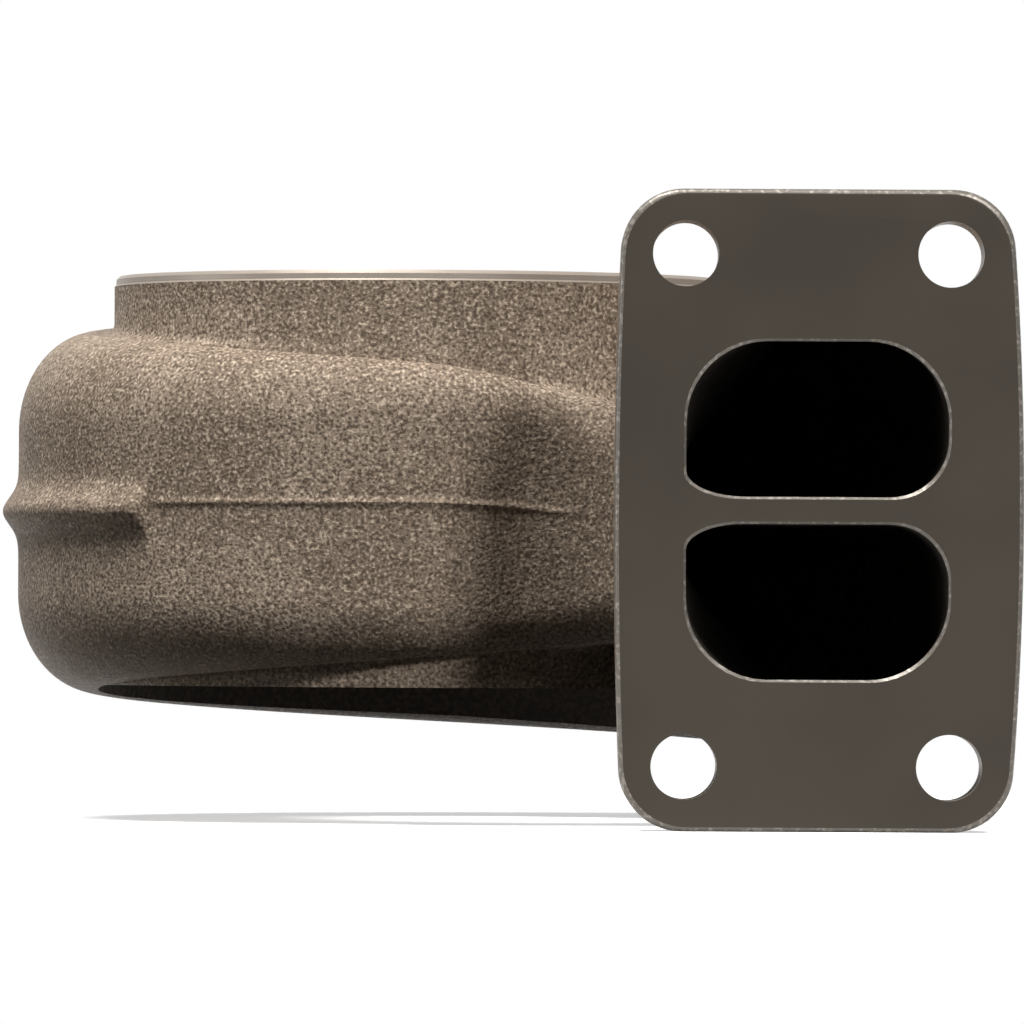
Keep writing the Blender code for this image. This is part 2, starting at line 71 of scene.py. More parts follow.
camera_data = bpy.data.cameras.new("camera")
camera_data.sensor_width = 36
camera_data.lens = camera_data.sensor_width * FOCAL_PIXELS / FRAME_PIXELS
camera_data.clip_start, camera_data.clip_end = 0.1, 60
camera = bpy.data.objects.new("camera", camera_data)
scene.collection.objects.link(camera)
camera.matrix_world = (Matrix.Translation(CAMERA_AT) @ Matrix.Rotation(TURN_LEFT, 4, "Z")
                       @ Matrix.Rotation(math.radians(90) + TILT_UP, 4, "X")
                       @ Matrix.Rotation(ROLL, 4, "Z"))
scene.camera = camera
scene.view_settings.view_transform = "Standard"
print("lens, mm:", round(camera_data.lens, 1))

# %% [markdown]
# ## Material maths
# Node maths is easier to read as sums. A wire is the output of one node. Adding or multiplying
# wires makes the Math nodes, and any other node comes from one method that takes its type, its
# settings and what goes into its sockets.

# %% A small class for wires between nodes
class Wire:
    def __init__(self, tree, socket):
        self.tree, self.socket = tree, socket

    def make(self, kind, settings=None, inputs=None, output=0):
        node = self.tree.nodes.new(kind)
        for name, value in (settings or {}).items():
            setattr(node, name, value)
        for name, value in (inputs or {}).items():
            plug(self.tree, value, node.inputs[name])
        return Wire(self.tree, node.outputs[output])

    def maths(self, operation, *values):
        return self.make("ShaderNodeMath", {"operation": operation}, dict(enumerate(values)))

    def __add__(self, other):
        return self.maths("ADD", self, other)

    def __sub__(self, other):
        return self.maths("SUBTRACT", self, other)

    def __rsub__(self, other):
        return self.maths("SUBTRACT", other, self)

    def __mul__(self, other):
        return self.maths("MULTIPLY", self, other)

    def __pow__(self, other):
        return self.maths("POWER", self, other)

    __radd__, __rmul__ = __add__, __mul__

    def between(self, low, high):
        """0 below the low value, 1 above the high one, and smooth in between."""
        return self.make("ShaderNodeMapRange", {"interpolation_type": "SMOOTHSTEP"},
                         {"Value": self, "From Min": low, "From Max": high})


def plug(tree, value, socket):
    if isinstance(value, Wire):
        tree.links.new(value.socket, socket)
    elif isinstance(value, tuple) and len(value) == 3 and socket.type == "RGBA":
        socket.default_value = (*value, 1)
    else:
        socket.default_value = value


# %% Start a material, and lead wires into it
def new_material(name, **fixed):
    """A material whose constant values sit on the shader itself. Returns it, its shader and a
    wire that carries the place on the piece in metres."""
    material = bpy.data.materials.new(name)
    material.use_nodes = True
    tree = material.node_tree
    shader = tree.nodes["Principled BSDF"]
    for socket, value in fixed.items():
        plug(tree, value, shader.inputs[socket.replace("_", " ")])
    place = tree.nodes.new("ShaderNodeTexCoord")
    return material, shader, Wire(tree, place.outputs["Object"])


def drive(shader, **wires):
    """Lead these wires into the shader's sockets."""
    for socket, wire in wires.items():
        plug(shader.id_data, wire, shader.inputs[socket.replace("_", " ")])


def noise(place, size, detail=2.0, roughness=0.5):
    """Soft random values about 0.5, with bumps of about this size in metres."""
    return place.make("ShaderNodeTexNoise", None, {"Vector": place, "Scale": 1 / size,
                                                   "Detail": detail, "Roughness": roughness})


def blend(amount, first, second):
    """A mix of two colours."""
    return amount.make("ShaderNodeMix", {"data_type": "RGBA"},
                       {"Factor": amount, 6: first, 7: second}, output=2)


def bump(height, depth):
    """Normals that a height, from 0 to 1, with this depth in metres would give."""
    return height.make("ShaderNodeBump", None,
                       {"Height": height, "Distance": depth, "Strength": 1.0})


# %% [markdown]
# ## Cast iron as it leaves the shot blast
# A sand casting that has been shot blasted is covered with tiny dents about a millimetre across.
# One noise at the size of the dents drives the bump, the tint and the gloss. In the tint the
# bottoms of the dents are painted darker, as painted shade, and their tops tan and bronze, as
# painted glints, so the brown grey ground seems to sparkle. Slower noises give the uneven brown
# of old oil and heat. The skin has next to no mirror gloss, or the white studio would show in it
# and flatten its shape.

# %% Cast skin
DENT_SIZE, GRIT_SIZE, PATCH_SIZE, CLOUD_SIZE = 0.00058, 0.0018, 0.006, 0.020
DENT_DEPTH = 0.00020
DARK_IRON, LIGHT_IRON = (0.200, 0.154, 0.117), (0.262, 0.206, 0.159)
# The pit colour is painted shade in the dents, and the glint colour a painted highlight on their
# tops.
OLD_OIL, PAINTED_DENT_SHADE, PAINTED_GLINT = (0.160, 0.125, 0.096), (0.100, 0.076, 0.057), (0.47, 0.385, 0.300)


def cast_skin():
    material, shader, place = new_material("cast_skin", Metallic=0.0, Specular_IOR_Level=0.03,
                                           Specular_Tint=(1.0, 0.86, 0.70))
    dents = noise(place, DENT_SIZE)
    grit = noise(place, GRIT_SIZE, 1.0)
    clouds = noise(place, CLOUD_SIZE, 3.0)
    patches = noise(place, PATCH_SIZE)
    ground = blend(clouds.between(0.35, 0.65), DARK_IRON, LIGHT_IRON)
    aged = blend(patches.between(0.50, 0.72) * 0.4, ground, OLD_OIL)
    # Painted shade in the bottoms of the dents, then painted glints on their tops.
    dent_shaded = blend(dents.between(0.36, 0.50), PAINTED_DENT_SHADE, aged)
    tint = blend(dents.between(0.54, 0.70), dent_shaded, PAINTED_GLINT)
    drive(shader, Base_Color=tint, Roughness=0.52 - 0.12 * dents.between(0.5, 0.7),
          Normal=bump(dents + 0.6 * grit, DENT_DEPTH))
    return material


CAST = cast_skin()
print("dents of", 1000 * DENT_SIZE, "mm,", 1000 * DENT_DEPTH, "mm deep")


# %% [markdown]
# ## Ground and turned faces
# The flange face is ground flat. Its near-black brown grey is a painted reflection, standing in
# for the dark room it would mirror. The rings and bores are turned, so they carry fine lines that
# run round the turbine axis, and they are brighter. The walls of the gas passages are cast and
# near black. The round step that the facing cut leaves under the bearing ring gets the same
# near-black colour, as painted shade.

# %% Machined finishes
AXIS_X, AXIS_Y = -0.0670, 0.0980
STAIN_SIZE, SPECK_SIZE, SPECK_DEPTH = 0.030, 0.0007, 0.00001
GROOVE_SIZE, GROOVE_DEPTH, WEAR_SIZE = 0.00035, 0.00003, 0.008
DARK_WALL_DENT_SIZE, DARK_WALL_DENT_DEPTH = 0.0011, 0.00025
EDGE_GLINT_SIZE, EDGE_GLINT_DEPTH = 0.0009, 0.00005


def ground_face():
    material, shader, place = new_material("ground_face", Metallic=0.55, Specular_IOR_Level=0.35)
    clouds = noise(place, STAIN_SIZE)
    specks = noise(place, SPECK_SIZE)
    # These near-black colours are a painted reflection of a dark room in front of the face.
    tint = blend(clouds.between(0.3, 0.7), (0.038, 0.031, 0.024), (0.046, 0.038, 0.029))
    drive(shader, Base_Color=tint, Roughness=0.40 + 0.06 * specks,
          Normal=bump(specks, SPECK_DEPTH))
    return material


def turned_face():
    material, shader, place = new_material("turned_face", Metallic=0.35, Specular_IOR_Level=0.4)
    tree = shader.id_data
    centred = place.make("ShaderNodeVectorMath", {"operation": "SUBTRACT"},
                         {0: place, 1: (AXIS_X, AXIS_Y, 0.0)})
    parts = tree.nodes.new("ShaderNodeSeparateXYZ")
    plug(tree, centred, parts.inputs[0])
    x, y, z = (Wire(tree, out) for out in parts.outputs)
    radius = (x * x + y * y) ** 0.5
    across_grooves = place.make("ShaderNodeCombineXYZ", None, {0: radius + z, 1: z * 0.2})
    grooves = noise(across_grooves, GROOVE_SIZE)
    clouds = noise(place, WEAR_SIZE)
    worn = blend(clouds.between(0.3, 0.7), (0.262, 0.222, 0.187), (0.292, 0.250, 0.212))
    tint = blend(grooves.between(0.40, 0.62) * 0.5, worn, (0.200, 0.168, 0.140))
    drive(shader, Base_Color=tint, Roughness=0.36 + 0.14 * grooves,
          Normal=bump(grooves, GROOVE_DEPTH))
    return material


def near_black_wall():
    material, shader, place = new_material("near_black_wall", Metallic=0.0, Specular_IOR_Level=0.2,
                                           Roughness=0.85)
    dents = noise(place, DARK_WALL_DENT_SIZE)
    # Near black for the passage walls, and painted shade on the wall of the facing step.
    tint = blend(dents.between(0.4, 0.65), (0.020, 0.016, 0.013), (0.050, 0.041, 0.033))
    drive(shader, Base_Color=tint, Normal=bump(dents, DARK_WALL_DENT_DEPTH))
    return material


def broken_edge():
    """The small rounding round the flange and the ports, coloured lighter and brighter in spots as
    a painted highlight along the edge.
    """
    material, shader, place = new_material("broken_edge", Metallic=0.45, Specular_IOR_Level=0.4)
    spots = noise(place, EDGE_GLINT_SIZE)
    # The lighter colour and the bright spots are a painted highlight on the edge.
    tint = blend(spots.between(0.5, 0.68), (0.120, 0.107, 0.092), (0.24, 0.218, 0.192))
    drive(shader, Base_Color=tint, Roughness=0.44 - 0.10 * spots, Normal=bump(spots, EDGE_GLINT_DEPTH))
    return material


GROUND, TURNED, NEAR_BLACK, EDGE = ground_face(), turned_face(), near_black_wall(), broken_edge()
print("finishes:", [m.name for m in (CAST, GROUND, TURNED, NEAR_BLACK, EDGE)])

# %% [markdown]
# ## The floor and the light
# The housing stands on a white floor that runs into a white background. To a camera or a mirror
# the floor is white with a soft shadow. To diffuse light it is dark, as black card is laid under a
# part in a studio to keep its underside deep.
#
# The main lamp is large and hangs over the housing, a little to its left. A smaller one stands at
# the front right, so that the flange shades the corner behind it. A weak one comes from the far
# left. A good way to their levels is to render each lamp alone, because light adds up.

# %% Floor and world
def seen_directly(wire):
    """1 for what the camera, a mirror or glass looks at, 0 for diffuse light."""
    rays = wire.tree.nodes.new("ShaderNodeLightPath")
    camera_ray, glossy, through = (Wire(wire.tree, rays.outputs[name]) for name in
                                   ("Is Camera Ray", "Is Glossy Ray", "Is Transmission Ray"))
    return camera_ray + glossy * (1 - camera_ray) + through * (1 - camera_ray) * (1 - glossy)


FLOOR_SIZE = 12.0
SHADOW_REACH = (0.30, 0.55)


def studio_floor():
    bpy.ops.mesh.primitive_plane_add(size=FLOOR_SIZE, location=(0, 0, lowest[2]))
    floor = bpy.context.object
    floor.name = "floor"
    material, shader, place = new_material("floor_white", Base_Color=(0.90, 0.90, 0.90),
                                           Roughness=1.0, Specular_IOR_Level=0.0,
                                           Emission_Color=(1.0, 1.0, 1.0), Emission_Strength=0.55)
    tree = shader.id_data
    dark = place.make("ShaderNodeBsdfDiffuse", None, {"Color": (0.02, 0.02, 0.02)})
    white = place.make("ShaderNodeEmission", None, {"Color": (1.0, 1.0, 1.0), "Strength": 1.0})
    away = place.make("ShaderNodeVectorMath", {"operation": "LENGTH"}, {0: place}, output=1)
    near = Wire(tree, shader.outputs[0])
    shown = place.make("ShaderNodeMixShader", None,
                       {0: away.between(*SHADOW_REACH), 1: near, 2: white})
    both = place.make("ShaderNodeMixShader", None, {0: seen_directly(place), 1: dark, 2: shown})
    plug(tree, both, tree.nodes["Material Output"].inputs["Surface"])
    floor.data.materials.append(material)
    return floor


def studio_world(fill):
    world = bpy.data.worlds.new("studio")
    scene.world = world
    world.use_nodes = True
    tree = world.node_tree
    background = tree.nodes["Background"]
    wire = Wire(tree, background.outputs[0])
    background.inputs["Color"].default_value = (1, 1, 1, 1)
    plug(tree, fill + (1 - fill) * seen_directly(wire), background.inputs["Strength"])
    return world


floor = studio_floor()
studio_world(fill=0.045)
print("floor at, mm:", round(1000 * floor.location.z, 2))

# %% Lamps
def soft_lamp(name, at, aim, width, power, colour=(1, 1, 1)):
    data = bpy.data.lights.new(name, "AREA")
    data.shape = "RECTANGLE"
    data.size = data.size_y = width
    data.energy, data.color = power, colour
    lamp = bpy.data.objects.new(name, data)
    scene.collection.objects.link(lamp)
    facing = (Vector(aim) - Vector(at)).to_track_quat("-Z", "Y")
    lamp.matrix_world = Matrix.Translation(at) @ facing.to_matrix().to_4x4()
    return lamp


MIDDLE = Vector((-0.07, 0.06, 0.0))


def shine_from(name, way, distance, width, level, colour=(1, 1, 1)):
    """A square lamp some way off. A level of 1 lights a white card that faces it to white."""
    power = level * (math.pi * distance) ** 2
    soft_lamp(name, MIDDLE + Vector(way).normalized() * distance, MIDDLE, width, power, colour)


shine_from("overhead", (-0.26, -0.24, 0.94), 1.2, 0.50, 1.70, (1.0, 0.99, 0.97))
shine_from("right_front", (0.417, -0.642, 0.643), 1.3, 0.20, 0.78, (1.0, 0.99, 0.97))
shine_from("left", (-0.97, -0.05, 0.17), 1.3, 0.30, 0.12, (0.96, 0.98, 1.0))

# %% [markdown]
# ## Dimensions
# These are the drawing's sizes, in metres. The surface here is made from the same laws as the
# packed casting, only with far more sections, so that it lies on it everywhere.

# %% Sizes of the casting
STUD_SPACING_X, STUD_SPACING_Z = 0.0441, 0.0853
STUD_HOLE_DIAMETER = 0.0110
FLANGE_THICKNESS = 0.0145
FLANGE_EDGE = 0.0108
FLANGE_BULGE, FLANGE_BULGE_NEAR_AXIS = 0.0015, 0.0009
FLANGE_CORNER_RADIUS = 0.0105
FLANGE_FRONT_ROUNDING, FLANGE_BACK_ROUNDING = 0.0010, 0.0016
PORT_WIDTH, PORT_HEIGHT, DIVIDER = 0.0437, 0.0259, 0.0045
PORT_OUTER_CORNER, PORT_DIVIDER_CORNER = 0.0135, 0.0098
PORT_EDGE_CHAMFER = 0.0004
WALL = 0.00515
NECK_ROOT_FILLET = 0.0040
VOLUTE_RISE = 0.0002
VOLUTE_HALF_HEIGHT_START, VOLUTE_HALF_HEIGHT_END = 0.0412, 0.0196
VOLUTE_SHOULDER_RADIUS = 0.0195
TONGUE_RADIUS, TONGUE_DEPTH = 0.0470, 0.00185
TONGUE_ANGLE = math.radians(333)
NECK_SIDE_FILLET = 0.0190
TAIL_SINK = 0.0124
CLOSING_DROP = 0.0046
CLOSING_START, CLOSING_END = math.radians(270), math.radians(320)
BEAD_HEIGHT, BEAD_HALF_WIDTH = 0.0029, 0.0041
BEAD_START, BEAD_END = math.radians(10), math.radians(224.5)
BEAD_RUN_IN, BEAD_BLUNT_END = math.radians(17), math.radians(2.2)
OUTLET_RING_RADIUS, OUTLET_FACE_Z = 0.0533, 0.0411
BEARING_RING_RADIUS, BEARING_FACE_Z = 0.0540, -0.0300
RING_FOOT_FILLET, RING_EDGE_CHAMFER = 0.0020, 0.0006
RING_BAND_HEIGHT, RING_BAND_DEPTH = 0.0015, 0.0003
FACING_MARGIN = 0.0018
OUTLET_BORE_RADIUS, OUTLET_FLARE_DEPTH, BORE_LAND = 0.0360, 0.0110, 0.0010
THROAT_RADIUS, WHEEL_RADIUS, SHROUD_RISE = 0.0305, 0.0370, 0.0090
NOZZLE_HALF_GAP, NOZZLE_DIVIDER, WHEEL_CLEARANCE = 0.0075, 0.0030, 0.0010
NOZZLE_LIP, BEARING_RING_WALL, REGISTER_DEPTH = 0.00615, 0.0120, 0.0058
TAPPED_DIAMETER = 0.0068
OUTLET_TAPPED_DEPTH, BEARING_TAPPED_DEPTH = 0.0100, 0.0075
LAW_END = math.radians(350)
SPIRAL_EASE = math.radians(8)
RADIUS_POWER, HEIGHT_POWER = 1.28, 1.15
TAIL_SPREAD = math.radians(55)
SINK = 0.0004
OVERRUN = 0.0060

PASSAGE_INNER_RADIUS = TONGUE_RADIUS - TONGUE_DEPTH
PASSAGE_START_RADIUS = -AXIS_X + PORT_WIDTH / 2
HEAT_SHIELD_RADIUS = PASSAGE_INNER_RADIUS - NOZZLE_LIP
REGISTER_RADIUS = BEARING_RING_RADIUS - BEARING_RING_WALL
NECK_HALF_WIDTH = PORT_WIDTH / 2 + WALL
NECK_HALF_HEIGHT = DIVIDER / 2 + PORT_HEIGHT + WALL
NECK_CORNER = PORT_OUTER_CORNER + WALL
CORE_RADIUS = PASSAGE_INNER_RADIUS - WALL
print("neck, mm:", round(2000 * NECK_HALF_WIDTH, 1), "by", round(2000 * NECK_HALF_HEIGHT, 1))

# %% Fineness of this surface
SIDE_POINTS, ROOF_POINTS = 44, 42
NECK_STEPS, TAIL_STEPS = 50, 44
VOLUTE_STEP = math.radians(2.2)
PASSAGE_STEP = math.radians(4)
PASSAGE_STRAIGHT = 22
TURNED_STEPS = 192
HOLE_SIDES, TAPPED_SIDES = 64, 40
PARTING_HEIGHT, PARTING_HALF_WIDTH, PARTING_Z = 0.00035, 0.00055, 0.0012
DRAWN_POINTS = 160
RIB_ZONE, RIB_EXTRA = 0.0055, 1.6
FOOT_ZONE, FOOT_EXTRA = 0.0022, 2.0
HIDDEN_SHARE, HIDDEN_EASE = 0.4, 0.0015
BEAD_SHARE = 0.95
PARTING_RUN_IN, PARTING_RUN_OUT = 0.03, 0.1
print("points on a ring of the skin:", 2 * (SIDE_POINTS + ROOF_POINTS - 2))

# %% [markdown]
# ## The laws of the volute
# Gas has to reach the wheel at the same speed all the way round, so the passage shrinks as it
# winds. One law gives the radius of the wall at each angle and one the height. Over the last
# stretch the top closes faster, down to where it meets the side of the neck.

# %% Radius and height round the axis
def smooth_step(t):
    t = min(max(t, 0.0), 1.0)
    return t * t * (3 - 2 * t)


def mix(a, b, t):
    return a + (b - a) * t


def passage_radius(angle):
    wound = angle - SPIRAL_EASE * (1 - math.exp(-angle / SPIRAL_EASE))
    left = max(0.0, 1 - wound / LAW_END)
    return TONGUE_RADIUS + (PASSAGE_START_RADIUS - TONGUE_RADIUS) * left ** RADIUS_POWER


def outer_radius(angle):
    return passage_radius(angle) + WALL


def closing(angle):
    return CLOSING_DROP * smooth_step((angle - CLOSING_START) / (CLOSING_END - CLOSING_START))


def half_height(angle):
    fall = (angle / LAW_END) ** HEIGHT_POWER
    return mix(VOLUTE_HALF_HEIGHT_START, VOLUTE_HALF_HEIGHT_END, fall) - closing(angle) / 2


def middle_height(angle):
    return VOLUTE_RISE - closing(angle) / 2


def shoulder(reach):
    reach = max(reach, WALL / 2)
    across = VOLUTE_SHOULDER_RADIUS * math.tanh(reach / VOLUTE_SHOULDER_RADIUS)
    down = VOLUTE_SHOULDER_RADIUS * math.tanh(1.6 * reach / VOLUTE_SHOULDER_RADIUS)
    return across, down


def volute_crown(angle, across):
    return max(across, outer_radius(angle) - OUTLET_RING_RADIUS - 0.6 * VOLUTE_SHOULDER_RADIUS)


def bead_height(angle):
    if not BEAD_START < angle < BEAD_END:
        return 0.0
    into_end = max(0.0, 1 - (BEAD_END - angle) / BEAD_BLUNT_END)
    run_in = smooth_step((angle - BEAD_START) / BEAD_RUN_IN)
    return BEAD_HEIGHT * run_in * math.sqrt(1 - into_end ** 2)


for degrees in (0, 90, 180, 270):
    turn = math.radians(degrees)
    print(degrees, "degrees: radius", round(1000 * outer_radius(turn), 1), "mm, half height",
          round(1000 * half_height(turn), 1), "mm")

# %% [markdown]
# ## One section of the skin
# A section is drawn as depth behind the wall and height. It starts in the middle of the side, with
# the rib of the parting line, goes over the shoulder and the crown and falls to the ring, whose
# foot has a small fillet. It is drawn with many points, which are then spread again so that
# small forms get more of them than flat ones. The side with its shoulder and the roof are spread
# apart from each other, so that what happens at the ring never pulls at the shoulder.

# %% Draw and spread a section
def spread(path, fine, count):
    """The same path with this many points, which stand closer where it is to be fine."""
    steps = np.hypot(*np.diff(path, axis=0).T)
    along = np.concatenate([[0], np.cumsum(steps * (fine[1:] + fine[:-1]) / 2)])
    wanted = np.linspace(0, along[-1], count)
    return np.column_stack([np.interp(wanted, along, path[:, k]) for k in (0, 1)])


def half_section(wall_point, inward, ring_radius, height, corner, crown, depth, drop, bead,
                 parting, side):
    """Depths and heights of the upper half (side 1) or of the lower half turned up (side -1)."""
    def from_axis(depths):
        return np.hypot(wall_point[0] + depths * inward[0] - AXIS_X,
                        wall_point[1] + depths * inward[1] - AXIS_Y)

    across, down = corner
    straight = height - down
    bead_width = min(BEAD_HALF_WIDTH, straight / 1.8)
    z = np.linspace(0.0, straight, DRAWN_POINTS)
    out = bead * np.exp(-(1.25 * z / bead_width) ** 2)
    out += parting * np.exp(-((side * z - PARTING_Z) / PARTING_HALF_WIDTH) ** 2)
    wall = np.column_stack([-out, z])
    turn = np.linspace(0, math.pi / 2, 60)[1:]
    over = np.column_stack([across * (1 - np.cos(turn)), height - down * (1 - np.sin(turn))])
    flat = np.linspace(across, crown, 40)[1:] if crown > across + 1e-6 else np.empty(0)
    fall = crown + (depth - crown) * np.sin(np.linspace(0, math.pi / 2, DRAWN_POINTS)[1:])
    d = np.concatenate([flat, fall])
    share = np.clip((d - crown) / (depth - crown), 0, 1)
    foot = np.clip((ring_radius + RING_FOOT_FILLET - from_axis(d)) / RING_FOOT_FILLET, 0, 1)
    top = height - drop * (1 - np.sqrt(1 - share ** 2))
    top = top + RING_FOOT_FILLET * (1 - np.sqrt(1 - foot ** 2))
    roof = np.column_stack([d, top])
    end = np.column_stack([np.full(30, depth), np.linspace(top[-1], 0, 31)[1:]])
    outside = np.vstack([wall, over])
    beside = outside[:, 0] < 0.25 * across
    fine = 1 + RIB_EXTRA * np.exp(-(outside[:, 1] / RIB_ZONE) ** 4) * beside
    outside = spread(outside, fine, SIDE_POINTS)
    inside = np.vstack([over[-1:], roof, end])
    beyond = from_axis(inside[:, 0]) - ring_radius
    fine = HIDDEN_SHARE + (1 - HIDDEN_SHARE) / (1 + np.exp(-beyond / HIDDEN_EASE))
    near_foot = np.exp(-((beyond - RING_FOOT_FILLET / 2) / FOOT_ZONE) ** 2)
    fine += FOOT_EXTRA * near_foot * (inside[:, 1] > 0.25 * height)
    return np.vstack([outside[:-1], spread(inside, fine, ROOF_POINTS)])


def skin_ring(wall, inward, rise, height, corner, crown, depth, drop, bead=0.0, parting=0.0):
    """One closed ring of points in space, upper half first."""
    drop = min(drop, 0.85 * height)
    halves = []
    for side, ring in ((1, OUTLET_RING_RADIUS), (-1, BEARING_RING_RADIUS)):
        half = half_section(wall, inward, ring, height, corner, crown, depth, drop, bead,
                            parting, side)
        halves.append(half * (1, side))
    section = np.vstack([halves[0][:-1], halves[1][:0:-1]])
    return np.column_stack([wall[0] + section[:, 0] * inward[0],
                            wall[1] + section[:, 0] * inward[1], rise + section[:, 1]])


# %% Where the sections stand
def neck_rings():
    first = FLANGE_THICKNESS + NECK_ROOT_FILLET
    places = [(FLANGE_THICKNESS * 0.6, NECK_ROOT_FILLET)]
    for turn in np.linspace(0, math.pi / 2, 11):
        places.append((FLANGE_THICKNESS + NECK_ROOT_FILLET * (1 - math.cos(turn)),
                       NECK_ROOT_FILLET * (1 - math.sin(turn))))
    places += [(mix(first, AXIS_Y, step / NECK_STEPS), 0.0) for step in range(1, NECK_STEPS)]
    start_corner = shoulder(outer_radius(0) - OUTLET_RING_RADIUS)
    start_crown = volute_crown(0, start_corner[0])
    rings = []
    for y, swell in places:
        share = smooth_step((y - first) / (AXIS_Y - first))
        width = mix(2 * NECK_HALF_WIDTH, outer_radius(0) - CORE_RADIUS, share)
        height = mix(NECK_HALF_HEIGHT, VOLUTE_HALF_HEIGHT_START, share) + swell
        corner = tuple(mix(NECK_CORNER, end, share) for end in start_corner)
        crown = mix(width - NECK_CORNER, start_crown, share)
        rings.append(skin_ring((NECK_HALF_WIDTH + swell, y), (-1, 0), VOLUTE_RISE * share, height,
                               corner, crown + swell, width + 2 * swell, NECK_CORNER))
    return rings


def side_fillet():
    """Middle of the round corner between the volute and the neck's side, and the angle at which
    the volute runs into it."""
    middle_x = -NECK_HALF_WIDTH + SINK - NECK_SIDE_FILLET
    meets = CLOSING_START
    for _ in range(4):
        apart = outer_radius(meets) + NECK_SIDE_FILLET
        away = math.sqrt(apart ** 2 - (middle_x - AXIS_X) ** 2)
        meets = math.tau + math.atan2(-away, middle_x - AXIS_X)
    return (middle_x, AXIS_Y - away), meets


def parting_height(angle, last):
    """The thin line that the two halves of the mould leave beyond the end of the rib."""
    starts = smooth_step((angle - BEAD_END) / PARTING_RUN_IN)
    ends = smooth_step((last + PARTING_RUN_OUT - angle) / PARTING_RUN_OUT)
    return PARTING_HEIGHT * starts * ends


def volute_rings(last):
    count = round(last / VOLUTE_STEP)
    angles = [last * step / count for step in range(count + 1)]
    blunt = [BEAD_END - share * BEAD_BLUNT_END
             for share in (1.0, 0.75, 0.5, 0.3, 0.15, 0.06, 0.01, -0.01)]
    kept = [a for a in angles if not blunt[0] - VOLUTE_STEP / 3 < a < blunt[-1] + VOLUTE_STEP / 3]
    rings = []
    for angle in sorted(kept + blunt):
        radius = outer_radius(angle)
        corner = shoulder(radius - OUTLET_RING_RADIUS)
        outward = (math.cos(angle), math.sin(angle))
        wall = (AXIS_X + radius * outward[0], AXIS_Y + radius * outward[1])
        rings.append(skin_ring(wall, (-outward[0], -outward[1]), middle_height(angle),
                               half_height(angle), corner, volute_crown(angle, corner[0]),
                               radius - CORE_RADIUS, NECK_CORNER, BEAD_SHARE * bead_height(angle),
                               parting_height(angle, last)))
    return rings


def tail_rings(middle, last):
    """The end of the volute sweeps round the middle of the side fillet and into the neck."""
    turn_start = last - math.pi
    depth_start = outer_radius(last) - CORE_RADIUS
    reach_start = outer_radius(last) - OUTLET_RING_RADIUS
    rings = []
    for step in range(1, TAIL_STEPS + 1):
        share = step / TAIL_STEPS
        turn = turn_start * (1 - share)
        outward = (math.cos(turn), math.sin(turn))
        wall = tuple(m + NECK_SIDE_FILLET * o for m, o in zip(middle, outward))
        law_angle = last + share * TAIL_SPREAD
        corner = shoulder(mix(reach_start, 2 * reach_start, share))
        depth = depth_start + min(1.0, 3 * share) * TAIL_SINK
        rings.append(skin_ring(wall, outward, middle_height(law_angle), half_height(law_angle),
                               corner, corner[0], depth, NECK_CORNER, 0.0,
                               PARTING_HEIGHT * (1 - smooth_step(2 * share))))
    return rings


middle, last = side_fillet()
skin_rings = neck_rings() + volute_rings(last) + tail_rings(middle, last)
print("rings of the skin:", len(skin_rings), "with", len(skin_rings[0]), "points each")


# %% [markdown]
# ## From rings to a solid
# A loft is a sheet of squares laid on the rings. The sheet starts as a grid, each of its rows is
# put on one ring, its long edges are joined, and its ends are filled.

# %% Make a closed body from rings
def only(obj):
    """Select this object alone and make it the active one."""
    bpy.ops.object.select_all(action="DESELECT")
    obj.select_set(True)
    bpy.context.view_layer.objects.active = obj


def close_body(obj, material):
    """Join what touches, fill the open ends, turn every face outward and give it its finish."""
    only(obj)
    bpy.ops.object.mode_set(mode="EDIT")
    bpy.ops.mesh.select_all(action="SELECT")
    bpy.ops.mesh.remove_doubles(threshold=0.000002)
    bpy.ops.mesh.delete_loose(use_verts=True, use_edges=True, use_faces=False)
    bpy.ops.mesh.select_all(action="SELECT")
    bpy.ops.mesh.fill_holes(sides=0)
    bpy.ops.mesh.select_all(action="SELECT")
    bpy.ops.mesh.normals_make_consistent(inside=False)
    bpy.ops.object.mode_set(mode="OBJECT")
    obj.data.materials.clear()
    obj.data.materials.append(material)
    return obj


def loft(name, rings, material):
    rings = [np.vstack([ring, ring[:1]]) for ring in rings]
    columns, rows = len(rings[0]), len(rings)
    bpy.ops.mesh.primitive_grid_add(x_subdivisions=columns - 1, y_subdivisions=rows - 1, size=1)
    sheet = bpy.context.object
    sheet.name = name
    sheet.data.vertices.foreach_set("co", np.vstack(rings).astype(np.float32).ravel())
    return close_body(sheet, material)


def turned(name, profile, material):
    """A half section of (radius, height) from the top of the axis to its bottom, spun round it."""
    bpy.ops.mesh.primitive_circle_add(vertices=len(profile), radius=1, fill_type="NOTHING")
    body = bpy.context.object
    body.name = name
    points = [(AXIS_X + radius, AXIS_Y, height) for radius, height in profile]
    body.data.vertices.foreach_set("co", np.array(points, dtype=np.float32).ravel())
    bpy.ops.object.mode_set(mode="EDIT")
    bpy.ops.mesh.select_all(action="SELECT")
    bpy.ops.mesh.spin(steps=TURNED_STEPS, angle=math.tau, center=(AXIS_X, AXIS_Y, 0),
                      axis=(0, 0, 1))
    bpy.ops.object.mode_set(mode="OBJECT")
    return close_body(body, material)


